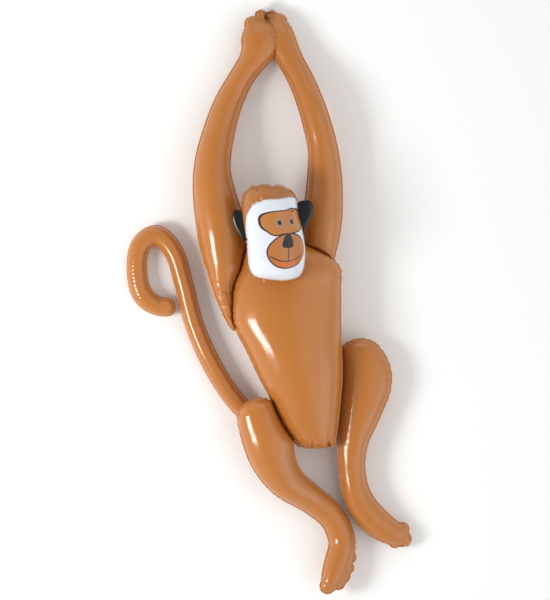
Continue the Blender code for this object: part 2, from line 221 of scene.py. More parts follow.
def outward(grid):
    """The direction out of the film at each of its points."""
    along = np.gradient(grid, axis=0)
    around = (np.roll(grid, -1, axis=1) - np.roll(grid, 1, axis=1)) / 2
    return unit(np.cross(along, around))


def even(values, reach):
    """The values averaged over their neighbours, which keeps puckers from starting suddenly."""
    weights = np.hanning(2 * reach + 3)[1:-1]
    weights /= weights.sum()
    return np.convolve(np.pad(values, reach, mode="edge"), weights, "valid")


def pucker(phase, height, reach, away, seed):
    """How deep the film is drawn in, away from the weld: one notch to each whole phase."""
    random = np.random.default_rng(seed)
    count = int(phase.max()) + 3
    strength = random.uniform(0.35, 1.15, count)
    length = random.uniform(0.45, 1.3, count)
    nearest = np.rint(phase).astype(int)
    stretch = reach * length[nearest]
    narrow = 1.0 + 2.5 * away / stretch
    notch = (1 - np.abs(np.sin(math.pi * (phase - nearest)))) ** narrow
    return height * strength[nearest] * notch * np.exp(-((away / stretch) ** 2))


def weld_edge(edge, out, radius, seed, pitch, gain, least):
    """Along one welded edge: the phase of its puckers and their height, from how it curves."""
    steps = np.linalg.norm(np.diff(edge, axis=0), axis=1)
    arc = np.concatenate(([0.0], np.cumsum(steps))) + np.arange(len(edge)) * 1e-9
    tangent = unit(np.stack([np.gradient(edge[:, k], arc) for k in range(3)], axis=1))
    bend = np.stack([np.gradient(tangent[:, k], arc) for k in range(3)], axis=1)
    curvature = even(np.clip(-(bend * out).sum(axis=1), -80, 160), 6)
    random = np.random.default_rng(seed)
    knots = np.arange(0.0, arc[-1] + 0.03, 0.012)
    wander = np.interp(arc, knots, random.uniform(0.62, 1.45, len(knots)))
    wave = pitch[0] * radius + pitch[1]
    phase = 1.0 + np.concatenate(([0.0], np.cumsum(steps / even(wave, 4)[1:] * wander[1:])))
    most = 0.0026
    return phase, np.clip(gain * curvature, least, most)


def crinkle(grid, side, radius, seed, pitch=(0.27, 0.002), gain=0.00013, reach=0.5, least=0.00025):
    """Draws the film in along both welded edges of a bag, and makes it slightly uneven."""
    sides = grid.shape[1]
    half = sides // 2
    around = np.linalg.norm(np.diff(grid, axis=1, append=grid[:, :1]), axis=2)
    right = np.cumsum(np.concatenate((np.zeros((len(grid), 1)), around[:, :-1]), axis=1), axis=1)
    away = np.minimum(right, right[:, -1:] + around[:, -1:] - right)
    away = np.minimum(away, np.abs(right - right[:, half:half + 1]))
    depth = np.zeros(grid.shape[:2])
    theta = np.arange(sides) * 2 * math.pi / sides
    for number, (column, sign) in enumerate(((0, 1.0), (half, -1.0))):
        phase, height = weld_edge(grid[:, column], sign * side, radius, seed + number, pitch, gain, least)
        for face, face_sign in enumerate((1, -1)):
            mine = (np.cos(theta) * sign >= 0) & (np.sin(theta) * face_sign >= (0 if face == 0 else 1e-9))
            grown = pucker(np.repeat(phase[:, None], mine.sum(), axis=1), height[:, None],
                           reach * radius[:, None], away[:, mine], seed + 11 * number + 5 * face)
            blend = np.clip(away[:, mine] / 0.002, 0, 1)
            shared = pucker(phase, height, reach * radius, np.zeros(len(phase)), seed + 11 * number)
            depth[:, mine] = grown * blend + shared[:, None] * (1 - blend)
    random = np.random.default_rng(seed + 77)
    along = np.cumsum(np.concatenate(([0.0], np.linalg.norm(np.diff(grid.mean(axis=1), axis=0), axis=1))))
    for _ in range(7):
        wavelength = random.uniform(0.035, 0.12)
        turns = random.integers(1, 4)
        phases = random.uniform(0, 2 * math.pi, 2)
        depth += 0.00007 * (np.sin(2 * math.pi * along / wavelength + phases[0])[:, None]
                            * np.sin(turns * theta + phases[1])[None])
    return grid - outward(grid) * depth[..., None]


def creased(grid, lines):
    """Presses fine creases into the front of the film. Each is from and to in pixels, then its
    depth and breadth in millimetres."""
    across, down = in_photo(grid)
    normal = outward(grid)
    depth = np.zeros(grid.shape[:2])
    for x1, y1, x2, y2, deep, breadth in lines:
        length = math.hypot(x2 - x1, y2 - y1)
        along = ((across - x1) * (x2 - x1) + (down - y1) * (y2 - y1)) / length
        off = ((across - x1) * (y2 - y1) - (down - y1) * (x2 - x1)) / length
        off = off + 0.06 * length * np.sin(along / length * 3.0)
        past = np.maximum(np.maximum(-along, along - length), 0)
        depth += deep / 1000 * np.exp(-(off * MM_A_PIXEL / breadth) ** 2 - (past / 1.5) ** 2)
    return grid - normal * (depth * np.clip(normal[..., 2] * 3, 0, 1))[..., None]


def rim_strip(edge, out, front, width):
    """The flat weld rim beside an edge: four corner points for each place along it."""
    half = front * RIM_THICKNESS / 2
    inner = edge - out * 0.0012
    outer = edge + out * width[:, None]
    return np.stack((inner + half, outer + half * 0.6, outer - half * 0.6, inner - half), axis=1)


def loop_rim(grid, side, front, rim):
    """The rim round a whole bag: along one edge, round the tip, back along the other edge."""
    half = grid.shape[1] // 2
    edge = np.vstack((grid[:, 0], grid[::-1, half]))
    lift = np.vstack((front, front[::-1]))
    steps = np.linalg.norm(np.roll(edge, -1, axis=0) - edge, axis=1)
    keep = steps > 0.00012
    edge, lift = edge[keep], lift[keep]
    tangent = unit(np.roll(edge, -2, axis=0) - np.roll(edge, 2, axis=0))
    out = unit(np.cross(tangent, lift))
    out = unit(out + np.roll(out, 1, axis=0) + np.roll(out, -1, axis=0))
    return rim_strip(edge, out, lift, np.full(len(edge), rim))


def bag_faces(rings, sides, start):
    """Quads between the rings, and a fan of triangles over each end."""
    i, j = np.meshgrid(np.arange(rings - 1), np.arange(sides), indexing="ij")
    after = (j + 1) % sides
    quads = np.stack((i * sides + j, (i + 1) * sides + j, (i + 1) * sides + after, i * sides + after),
                     axis=-1)
    faces = (quads.reshape(-1, 4) + start).tolist()
    last = start + (rings - 1) * sides
    for j in range(sides):
        after = (j + 1) % sides
        faces.append([start + rings * sides, start + j, start + after])
        faces.append([start + rings * sides + 1, last + after, last + j])
    return faces


def strip_faces(count, start):
    """Quads round a closed rim that has four corner points at each place."""
    faces = []
    for i in range(count):
        after = (i + 1) % count
        for k in range(4):
            n = (k + 1) % 4
            faces.append([start + i * 4 + k, start + i * 4 + n, start + after * 4 + n, start + after * 4 + k])
    return faces


def tree_of(grid):
    """A search tree of a bag's film."""
    points = np.vstack((grid.reshape(-1, 3), grid[0].mean(axis=0), grid[-1].mean(axis=0)))
    return BVHTree.FromPolygons(points.tolist(), bag_faces(grid.shape[0], grid.shape[1], 0))


def seated(points, seat, deepest=HIDDEN):
    """Points inside another piece come back to its surface, and those far inside are dropped."""
    tree, (low, high) = seat
    moved = points.copy()
    kept = np.ones(len(points), bool)
    near = np.all((points > low - 0.001) & (points < high + 0.001), axis=1)
    for index in np.nonzero(near)[0]:
        place, normal, _, _ = tree.find_nearest(Vector(points[index]), 0.08)
        if place is None:
            continue
        inside = (Vector(points[index]) - place).dot(normal)
        if inside < -deepest:
            kept[index] = False
        elif inside < GAP:
            moved[index] = np.array(place + normal * GAP)
    return moved, kept


def boxed(grid):
    """What other pieces are seated against: a bag's search tree, and its box."""
    flat = grid.reshape(-1, 3)
    return tree_of(grid), (flat.min(axis=0), flat.max(axis=0))


def pvc_film(name, light, deep, sheen, rough):
    """Glossy calendered PVC film, a little uneven in tone and in gloss."""
    material = bpy.data.materials.new(name)
    material.use_nodes = True
    tree = material.node_tree
    shader = tree.nodes["Principled BSDF"]
    place = add(tree, "ShaderNodeTexCoord").outputs["Object"]
    broad = add(tree, "ShaderNodeTexNoise", {"Vector": place, "Scale": 14.0, "Detail": 3.0}).outputs["Fac"]
    tone = add(tree, "ShaderNodeMix", {"Factor": broad}, data_type="RGBA")
    tone.inputs["A"].default_value = linear(light)
    tone.inputs["B"].default_value = linear(deep)
    gloss = add(tree, "ShaderNodeTexNoise", {"Vector": place, "Scale": 45.0, "Detail": 4.0}).outputs["Fac"]
    roughness = add(tree, "ShaderNodeMapRange", [gloss, 0.3, 0.7, rough - 0.025, rough + 0.03])
    ripple = add(tree, "ShaderNodeTexNoise", {"Vector": place, "Scale": 120.0, "Detail": 2.0}).outputs["Fac"]
    grain = add(tree, "ShaderNodeTexNoise", {"Vector": place, "Scale": 1400.0, "Detail": 2.0}).outputs["Fac"]
    rippled = add(tree, "ShaderNodeBump", {"Height": ripple, "Strength": 0.12, "Distance": 0.0006})
    grained = add(tree, "ShaderNodeBump", {"Height": grain, "Strength": 0.06, "Distance": 0.00005,
                                           "Normal": rippled.outputs["Normal"]})
    tree.links.new(tone.outputs["Result"], shader.inputs["Base Color"])
    tree.links.new(roughness.outputs["Result"], shader.inputs["Roughness"])
    tree.links.new(grained.outputs["Normal"], shader.inputs["Normal"])
    shader.inputs["IOR"].default_value = 1.53
    shader.inputs["Subsurface Weight"].default_value = sheen
    shader.inputs["Subsurface Radius"].default_value = (0.012, 0.005, 0.002)
    shader.inputs["Subsurface Scale"].default_value = 0.3
    return material


def make_piece(name, material, points, faces, kept, maps=None):
    """A piece's mesh in its own place, riding on the figure in place of its CAD solid."""
    if not kept.all():
        number = np.cumsum(kept) - 1
        faces = [[number[v] for v in face] for face in faces if all(kept[v] for v in face)]
        points = points[kept]
        maps = {label: places[kept] for label, places in (maps or {}).items()}
    mesh = bpy.data.meshes.new(name + "_film")
    mesh.from_pydata((points + SHIFT).tolist(), [], faces)
    mesh.shade_smooth()
    corners = np.empty(len(mesh.loops), dtype=np.int32)
    mesh.loops.foreach_get("vertex_index", corners)
    for label, places in (maps or {}).items():
        layer = mesh.uv_layers.new(name=label)
        layer.data.foreach_set("uv", places[corners].astype(np.float32).ravel())
    mesh.materials.append(material)
    item = bpy.data.objects.new(name + "_film", mesh)
    bpy.context.scene.collection.objects.link(item)
    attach(item, "root")
    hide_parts(name)


def film_piece(name, material, grid, side, front, rim, seats=()):
    """Joins a bag's film and its rim in one mesh, seated against the pieces that it touches, of
    which the first is the one that it is welded to."""
    grid = grid.copy()
    grid[..., 2] = np.maximum(grid[..., 2], 0.0)
    strip = loop_rim(grid, side, front, rim)
    strip[..., 2] = np.maximum(strip[..., 2], 0.0002)
    body = np.vstack((grid.reshape(-1, 3), grid[0].mean(axis=0), grid[-1].mean(axis=0)))
    points = np.vstack((body, strip.reshape(-1, 3)))
    faces = bag_faces(grid.shape[0], grid.shape[1], 0) + strip_faces(len(strip), len(body))
    kept = np.ones(len(points), bool)
    for number, seat in enumerate(seats):
        points, still = seated(points, seat, HIDDEN if number == 0 else math.inf)
        kept &= still
    make_piece(name, material, points, faces, kept)


# Tan PVC film: wet-looking, warm, with a soft glow in thin shaded places
tan_film = pvc_film("tan_glossy_pvc_film", "#BA7536", "#B26E30", 0.05, 0.15)

# Across, along and half width in thousandths of the figure's length, and the share of the depth
TRUNK_ROWS = (
    (9, 97, 47, 0.56), (30, 74, 75, 0.70), (37, 51, 87.5, 0.80), (31, 25, 92, 0.86), (30, 2, 93.5, 0.90),
    (31, -46, 92.5, 0.965), (40, -77, 84.5, 1.0), (54, -133, 72, 0.94), (63, -172, 60, 0.82),
    (69, -209, 50, 0.66), (81, -252, 33, 0.40),
)
trunk_places = np.array([(x * SHARE, y * SHARE, TRUNK_MIDDLE, wide * SHARE, deep * TRUNK_HALF_DEPTH)
                         for x, y, wide, deep in TRUNK_ROWS])
trunk_grid, trunk_side, trunk_front, *_ = bag(
    trunk_places, step=0.0014, start_cap=(0.0198, 0.92, 0.02), end_cap=(0.0144, 0.96, 0.03), sides=160,
    rim=RIM, facing=(0.0, -1.0, 0.0), spread=0.006)
trunk_grid = crinkle(trunk_grid, trunk_side, radius=np.full(len(trunk_grid), 0.036), seed=3)

# The lower end is drawn up at the weld's notches and sags between them, with creases above.
# Each notch is a place across in pixels and its height in millimetres.
seat_across, seat_down = in_photo(trunk_grid)
SEAT_NOTCHES = ((297.5, 1.2), (303.5, 1.5), (312.5, 1.6), (321.5, 1.0), (329.5, 3.2), (336.0, 1.5))
seat_rise = np.zeros(trunk_grid.shape[:2])
for notch_at, notch_deep in SEAT_NOTCHES:
    seat_rise += notch_deep / 1000 * np.exp(-(np.abs(seat_across - notch_at) / 1.7) ** 1.4)
seat_near = np.clip((seat_down - 424) / 22, 0, 1)
seat_sag = 0.0024 * np.clip(1 - ((seat_across - 318) / 17) ** 2, 0, 1)
trunk_grid[..., 1] += (seat_rise - seat_sag) * seat_near ** 5
trunk_grid -= outward(trunk_grid) * (0.45 * seat_rise * seat_near ** 2)[..., None]
trunk_grid = creased(trunk_grid, (
    (299, 436, 303, 443, 0.8, 1.2), (306, 438, 308, 446, 0.9, 1.0), (312, 434, 313, 446, 1.0, 1.1),
    (316, 440, 317, 447, 0.7, 0.9), (322, 438, 321, 447, 0.8, 1.0), (329, 430, 329, 445, 1.3, 1.4),
    (333, 436, 335, 446, 0.9, 1.0), (281, 424, 287, 429, 1.0, 1.2), (277, 416, 284, 419, 0.8, 1.1),
    (286, 433, 293, 436, 0.9, 1.2), (268, 399, 275, 402, 0.6, 1.1), (272, 407, 279, 409, 0.6, 1.0),
    (309, 250, 322, 257, 0.7, 1.8), (316, 262, 333, 268, 0.5, 1.6), (327, 262, 339, 272, 0.6, 1.3),
    (234, 288, 241, 286, 0.6, 1.1), (234, 301, 243, 302, 0.5, 1.2), (234, 314, 241, 318, 0.5, 1.1),
    (236, 328, 243, 331, 0.6, 1.2), (245, 262, 240, 276, 0.5, 1.4), (256, 281, 247, 286, 0.5, 1.5),
    (298, 276, 309, 266, 0.4, 1.6), (305, 252, 306, 268, 0.5, 1.4),
))
film_piece("trunk", tan_film, trunk_grid, trunk_side, trunk_front, RIM)
trunk_tree = boxed(trunk_grid)

# Head
# One bag like the others, turned to the monkey's left with its chin raised: a white film in
# front, with the face printed on it, and a tan one over the crown and the back.
HEAD_MIDDLE = TRUNK_MIDDLE + 0.044
CHIN_RISE = 0.018
HEAD_HALF_DEPTH = 0.038
# Across and along in thousandths, the share of the chin's rise, half width, share of the depth
HEAD_ROWS = (
    (0, 194, 0, 39, 0.88), (0, 172, 0.14, 47, 0.98), (3.5, 136, 0.36, 47.5, 1.0), (10.5, 104, 0.56, 49, 1.0),
    (13, 76, 0.74, 50, 0.98), (9, 32, 1, 44, 0.90),
)
head_places = np.array([(x * SHARE, y * SHARE, HEAD_MIDDLE + chin * CHIN_RISE, wide * SHARE,
                         deep * HEAD_HALF_DEPTH) for x, y, chin, wide, deep in HEAD_ROWS])
head_grid, _, _, head_wide, head_deep = bag(
    head_places, step=0.0009, start_cap=(0.0198, 0.6, 0.12), end_cap=(0.0230, 0.6, 0.04), sides=200,
    rim=0.0008, spread=0.006)
# Where the weld between the white panel and the tan one runs: the angle round the head from its
# front, and the place down it in photo pixels. It climbs the right cheek, crosses the brow
# under the crown and comes down behind the left ear to the chin.
HEAD_WELD = (
    (-100, 268), (-95, 257), (-90, 246.5), (-82, 232), (-67, 219.5), (-51, 211), (-39, 205.5), (-25.5, 202.4),
    (-12, 200), (0, 199), (19, 198.6), (33, 197.6), (47, 196.8), (64, 197), (84, 199), (98, 206), (104, 222),
    (108, 245), (108, 262), (98, 274), (60, 279.5), (10, 281.3), (-40, 280.8), (-84, 276),
)
head_rings = head_grid.shape[0]
head_across, head_down = in_photo(head_grid)
head_from_axis = head_grid - head_grid.mean(axis=1, keepdims=True)
head_turned = np.degrees(np.arctan2(head_from_axis[..., 0] / head_wide[:, None],
                                    head_from_axis[..., 2] / head_deep[:, None]))


def closed_curve(points, count):
    """A smooth closed curve through the points, as evenly spaced places along it."""
    points = np.array(points, float)
    fine = []
    for k in range(len(points)):
        p, q, r, t = (points[(k + step) % len(points)] for step in (-1, 0, 1, 2))
        for u in np.arange(0, 1, 0.05):
            fine.append(0.5 * (2 * q + (r - p) * u + (2 * p - 5 * q + 4 * r - t) * u * u
                               + (3 * q - p - 3 * r + t) * u**3))
    fine = np.array(fine + fine[:1])
    arc = np.concatenate(([0.0], np.cumsum(np.linalg.norm(np.diff(fine, axis=0), axis=1))))
    at = np.linspace(0, arc[-1], count, endpoint=False)
    return np.stack([np.interp(at, arc, fine[:, k]) for k in range(points.shape[1])], axis=1)


WELD_POINTS = 720
weld_flat = closed_curve(HEAD_WELD, WELD_POINTS)


def on_head(turned, down):
    """The place on the head's film at an angle round it and a height down the photo."""
    sides = head_grid.shape[1]
    column = (turned + 90.0) / 360.0 * sides
    first = int(math.floor(column))
    share = column - first
    heights = head_down[:, first % sides] * (1 - share) + head_down[:, (first + 1) % sides] * share
    row = np.interp(down, heights, np.arange(head_rings))
    low = min(int(row), head_rings - 2)
    near = head_grid[low, first % sides] * (1 - share) + head_grid[low, (first + 1) % sides] * share
    far = head_grid[low + 1, first % sides] * (1 - share) + head_grid[low + 1, (first + 1) % sides] * share
    return near * (1 - row + low) + far * (row - low)


head_weld = np.array([on_head(*place) for place in weld_flat])
head_weld = closed_curve(head_weld[::4], WELD_POINTS)

# Notches stand 6 to 9 mm apart along the head's weld, deepest on its right side
weld_steps = np.linalg.norm(np.roll(head_weld, -1, axis=0) - head_weld, axis=1)
weld_arc = np.concatenate(([0.0], np.cumsum(weld_steps)))[:-1]
weld_crown = np.clip((head_weld[:, 1] - 0.13) / 0.02, 0, 1)
weld_cheek = np.clip((0.012 - head_weld[:, 0]) / 0.03, 0, 1)
head_weld_phase = 1.0 + np.cumsum(weld_steps / (0.0062 + 0.0028 * weld_crown))
head_weld_phase += 0.3 * np.sin(weld_arc / 0.011)
weld_top = weld_crown * np.clip((head_weld[:, 0] + 0.012) / 0.006, 0, 1)
head_weld_height = (0.0008 + 0.0008 * weld_crown + 0.0010 * weld_cheek) * (1 - 0.8 * weld_top)

# Which side of the weld each place is on, and how far from it
head_search = KDTree(len(head_weld))
for index, place in enumerate(head_weld):
    head_search.insert(place, index)
head_search.balance()
head_flat = head_grid.reshape(-1, 3)
nearest = np.empty(len(head_flat), int)
panel_distance = np.empty(len(head_flat))
for index, place in enumerate(head_flat):
    _, nearest[index], panel_distance[index] = head_search.find(place)
within = np.zeros(len(head_flat), bool)
turned, down = head_turned.ravel(), head_down.ravel()
for (x1, y1), (x2, y2) in zip(weld_flat, np.roll(weld_flat, -1, axis=0)):
    if y1 != y2:
        within ^= ((y1 > down) != (y2 > down)) & (turned < (x2 - x1) * (down - y1) / (y2 - y1) + x1)
panel_distance = np.where(within, panel_distance, -panel_distance)
weld_away = np.abs(panel_distance)
film_phase = head_weld_phase[nearest]
film_height = head_weld_height[nearest]
white_side = pucker(film_phase, film_height, 0.007, weld_away, 31)
tan_side = pucker(film_phase, film_height * 1.25, 0.011, weld_away, 31)
head_depth = np.where(within, white_side, tan_side) + 0.0007 * np.exp(-(weld_away / 0.0012) ** 2)

# The crown's outline is scalloped
crown_near = np.clip((192 - down) / 5, 0, 1)
for notch_at in (246.0, 256.8, 272.8, 286.5):
    crown_notch = np.exp(-np.abs((head_across.ravel() - notch_at) / 2.2) ** 1.4)
    head_depth += 0.0024 * crown_notch * crown_near
smooth_head_tree = tree_of(head_grid)
head_grid = head_grid - outward(head_grid) * head_depth.reshape(head_grid.shape[:2])[..., None]

# Slack film lies in folds over the crown and down beside the brow
head_grid = creased(head_grid, (
    (264, 192.4, 281, 192.2, 1.8, 1.2), (263.5, 194.8, 283, 194.3, 1.6, 1.2),
    (266, 197.2, 281, 196.6, 0.9, 1.0), (256, 187.3, 261, 191.8, 1.0, 1.1),
    (262, 189.8, 269.5, 189.6, 0.9, 1.0), (271.5, 188.4, 281.5, 190.4, 0.9, 1.0),
    (242.5, 198, 247.5, 199, 0.9, 1.0), (242, 202, 247, 203, 0.9, 1.0),
    (242.5, 206.5, 248, 208, 1.0, 1.0), (284, 192, 290, 196, 0.7, 1.0),
))

# The rim of the head's weld stands square to the film
weld_notch = pucker(head_weld_phase, head_weld_height, 0.007, np.zeros(WELD_POINTS), 31)
weld_tangent = unit(np.roll(head_weld, -3, axis=0) - np.roll(head_weld, 3, axis=0))
weld_film = np.array([smooth_head_tree.find_nearest(Vector(place))[1] for place in head_weld])
weld_across = unit(np.cross(weld_film, weld_tangent))
weld_from_axis = unit((head_weld - head_grid.mean(axis=(0, 1))) * (1.0, 0.6, 1.0))
weld_out = unit(weld_film + 0.25 * weld_from_axis)
weld_base = head_weld - weld_film * weld_notch[:, None]
head_strip = rim_strip(weld_base, weld_out, weld_across, np.full(WELD_POINTS, 0.0010))

# White PVC film printed in flat inks: crisp dark lines round tan patches. The tan film behind
# has the same gloss, and its tan is darker than the trunk's: painted shade for the crown's folds.
face_film = pvc_film("white_glossy_pvc_printed", "#DCDFE6", "#D7DBE3", 0.08, 0.14)
ink_tree = face_film.node_tree
ink_place = add(ink_tree, "ShaderNodeUVMap", uv_map="print").outputs["UV"]
ink_axes = add(ink_tree, "ShaderNodeSeparateXYZ", [ink_place])
panel_side = add(ink_tree, "ShaderNodeSeparateXYZ",
                 [add(ink_tree, "ShaderNodeUVMap", uv_map="panel").outputs["UV"]]).outputs["X"]


def calc(operation, *values):
    """A number worked out by the shader from sockets and numbers."""
    return add(ink_tree, "ShaderNodeMath", values, operation=operation).outputs["Value"]


def oval(middle, half):
    """The distance outside an ellipse on the print, in pixels, below zero inside it."""
    offset = add(ink_tree, "ShaderNodeVectorMath", [ink_place, middle + (0.0,)], operation="SUBTRACT")
    share = add(ink_tree, "ShaderNodeVectorMath", [offset.outputs[0], half + (1.0,)], operation="DIVIDE")
    length = add(ink_tree, "ShaderNodeVectorMath", [share.outputs[0]], operation="LENGTH").outputs["Value"]
    size = math.sqrt(half[0] * half[1])
    return calc("MULTIPLY_ADD", length, size, -size)


def inked(distance, soft=0.3):
    """How much ink a place takes, from its distance outside the inked shape."""
    return add(ink_tree, "ShaderNodeMapRange", [distance, soft, -soft, 0.0, 1.0]).outputs["Result"]


# Each printed shape as the distance outside it, in pixels of the photo, below zero inside it
ink_u, ink_v = ink_axes.outputs["X"], ink_axes.outputs["Y"]
squared = [calc("POWER", calc("ABSOLUTE", calc("MULTIPLY_ADD", place, 1 / half, -middle / half)), 2.7)
           for place, middle, half in ((ink_u, 1.5, 29.3), (ink_v, 222.8, 11.6))]
eye_patch = calc("MULTIPLY_ADD", calc("POWER", calc("ADD", *squared), 1 / 2.7), 13.5, -13.5)
eye_patch = calc("SMOOTH_MIN", eye_patch, oval((-12.5, 226.4), (11.0, 9.3)), 1.5)
eye_patch = calc("SMOOTH_MIN", eye_patch, oval((10.0, 220.6), (10.5, 10.1)), 1.5)
muzzle = oval((0.4, 251.7), (22.4, 17.1))
cheek = calc("MULTIPLY_ADD", ink_u, -0.751, calc("MULTIPLY_ADD", ink_v, -0.66, 147.2))
muzzle = calc("SMOOTH_MAX", muzzle, cheek, 5.0)
nose = calc("SMOOTH_MIN", oval((0.3, 243.6), (5.9, 5.0)), oval((-0.2, 239.8), (4.5, 5.2)), 3.0)
nostrils = calc("MINIMUM", oval((-3.1, 245.4), (2.9, 2.7)), oval((3.6, 245.8), (2.9, 2.7)))
nose = calc("SMOOTH_MIN", nose, nostrils, 1.0)
philtrum = calc("MAXIMUM", calc("SUBTRACT", calc("ABSOLUTE", calc("SUBTRACT", ink_u, 0.4)), 0.5),
                calc("SUBTRACT", calc("ABSOLUTE", calc("SUBTRACT", ink_v, 254.8)), 7.2))
smile_rise = calc("MULTIPLY_ADD", calc("MULTIPLY", ink_u, ink_u), 5.4 / 18.8 ** 2, ink_v)
under_smile = calc("SUBTRACT", 261.8, smile_rise)
smile = calc("MAXIMUM", calc("SUBTRACT", calc("ABSOLUTE", under_smile), 0.55),
             calc("SUBTRACT", calc("ABSOLUTE", calc("SUBTRACT", ink_u, 0.5)), 19.2))
lip = calc("MAXIMUM", calc("MAXIMUM", under_smile, muzzle), calc("MULTIPLY_ADD", ink_u, -0.2, -2.0))
patch_line = calc("SUBTRACT", calc("ABSOLUTE", eye_patch), 0.66)
muzzle_line = calc("SUBTRACT", calc("ABSOLUTE", muzzle), 0.66)

# The inks in the order of printing, each over the ones before
ink_layers = [(inked(muzzle), "#B5733E"), (inked(lip, 0.9), "#C96826"), (inked(muzzle_line), "#1E1614"),
              (inked(smile), "#33201A"), (inked(eye_patch), "#BA783F"), (inked(patch_line), "#1E1614"),
              (inked(philtrum), "#2A1E1C"), (inked(nose), "#0E0F15")]
for eye_u, eye_v in ((-7.3, 223.0), (7.2, 223.3)):
    ink_layers.append((inked(oval((eye_u - 0.6, eye_v + 0.4), (4.2, 4.6)), 1.6), "#A08672"))
    ink_layers.append((inked(oval((eye_u, eye_v), (2.2, 2.3)), 0.6), "#2A0E0C"))
ink_layers.append((inked(oval((12.6, 213.4), (3.2, 0.6))), "#33201A"))
ink_tone = ink_tree.nodes["Principled BSDF"].inputs["Base Color"].links[0].from_socket
for ink_mask, ink_colour in ink_layers:
    ink_tone = add(ink_tree, "ShaderNodeMix", {0: ink_mask, 6: ink_tone, 7: linear(ink_colour)},
                   data_type="RGBA").outputs[2]
# The head's tan panel, in a tan darker than the trunk's film: painted shade for the folds over the crown
back_panel_and_painted_shade_mask = add(ink_tree, "ShaderNodeMapRange", [panel_side, 0.15, -0.15, 0.0, 1.0]).outputs["Result"]
ink_tone = add(ink_tree, "ShaderNodeMix", {0: back_panel_and_painted_shade_mask, 6: ink_tone, 7: linear("#A86A33")},
               data_type="RGBA").outputs[2]
ink_tree.links.new(ink_tone, ink_tree.nodes["Principled BSDF"].inputs["Base Color"])

# The print is laid out in photo pixels, unrolled round the head from its turned middle line,
# which stands at 24 degrees below the nose and a little further round above it
HEAD_RADIUS = 29  # in pixels
OFF_PRINT = 500.0
face_line = 24.3 + 4.2 * np.clip((243 - down) / 10, 0, 1)
print_u = (turned - face_line) * math.radians(1) * HEAD_RADIUS
print_v = down + 6 * (1 - np.cos(np.radians(turned)))
head_print = np.vstack((np.column_stack((print_u, print_v)), np.full((WELD_POINTS * 4 + 2, 2), OFF_PRINT)))

# Millimetres onto the white panel, below zero on the tan: the film, its two end points, the rim
head_panel = np.concatenate((panel_distance * 1000, [-5, -5], np.tile((1.0, 1.0, -1.0, -1.0), WELD_POINTS)))

head_points = np.vstack((head_grid.reshape(-1, 3), head_grid[0].mean(axis=0), head_grid[-1].mean(axis=0),
                         head_strip.reshape(-1, 3)))
head_faces = (bag_faces(head_grid.shape[0], head_grid.shape[1], 0)
              + strip_faces(WELD_POINTS, head_grid.shape[0] * head_grid.shape[1] + 2))
head_points, head_kept = seated(head_points, trunk_tree)
make_piece("head", face_film, head_points, head_faces, head_kept,
           {"print": head_print, "panel": np.column_stack((head_panel, head_panel * 0))})
head_tree = boxed(head_grid)

# Tail
# A long thin tube of the same tan film that leaves the small of the back, passes under the
# right thigh and curls at its end. Short creases cross it where it curls.
PRESSED = 0.001  # how far a limb's own weight flattens it on the ground


def limb_places(rows, root_height):
    """Rows of a limb in metres, from lying on the ground up to the height of its root."""
    places = []
    for x, y, lifted, half_width, half_depth in rows:
        lying = half_depth * SHARE - PRESSED
        height = lifted * root_height + (1 - lifted) * lying
        places.append((x * SHARE, y * SHARE, height, half_width * SHARE, half_depth * SHARE))
    return np.array(places)


TAIL_RADIUS = 16 / 0.9  # in thousandths
TAIL_RIM = 0.0009
TAIL_ROOT_HEIGHT = 0.62 * TRUNK_MIDDLE
# Across and along in thousandths, share of the root's height, half width and half depth in radii
TAIL_ROWS = (
    (36, -228, 1, 0.9, 0.9), (-9, -217, 0.3, 0.92, 0.95), (-46, -187, 0, 0.94, 1), (-94.5, -118, 0, 0.95, 1),
    (-128, -44, 0, 0.94, 1), (-147.5, 30, 0, 0.94, 1), (-167, 87, 0, 0.97, 1), (-194, 112, 0, 1.0, 1),
    (-219, 95, 0, 0.98, 1), (-227, 54, 0, 1.0, 1), (-214, 3, 0, 1.0, 1), (-189, -13, 0, 0.93, 0.94),
    (-161, -13, 0, 0.95, 0.95),
)
tail_places = limb_places([(x, y, up, w * TAIL_RADIUS, d * TAIL_RADIUS) for x, y, up, w, d in TAIL_ROWS],
                          TAIL_ROOT_HEIGHT)
tail_grid, tail_side, tail_front, *_ = bag(
    tail_places, step=0.0013, start_cap=(0.0128, 0.15, 0.15), end_cap=(0.0128, 0.15, 0.15), sides=56,
    rim=TAIL_RIM)
tail_grid = crinkle(tail_grid, tail_side, radius=np.full(len(tail_grid), 0.0145), seed=41,
                    pitch=(0.33, 0.0018), gain=0.00002, reach=0.75, least=0.0001)
# The creases' middles, in pixels
TAIL_RIBS = ((132.6, 262.8), (132.8, 266.5), (133.2, 270.2), (134, 273.9), (135, 277.6), (136.2, 281.3),
             (137.4, 285), (138.8, 288.7), (140.6, 292.4), (142.6, 295.8))
tail_grid = creased(tail_grid, [(x - 6.5, y + 1.6, x + 5.5, y - 1.0, 0.4, 0.9) for x, y in TAIL_RIBS])
tail_grid = creased(tail_grid, ((161.5, 295, 163.5, 318, 0.9, 4.0), (166.5, 311, 168.5, 318, 0.8, 1.0)))
film_piece("tail", tan_film, tail_grid, tail_side, tail_front, TAIL_RIM, [trunk_tree])
tail_tree = boxed(tail_grid)

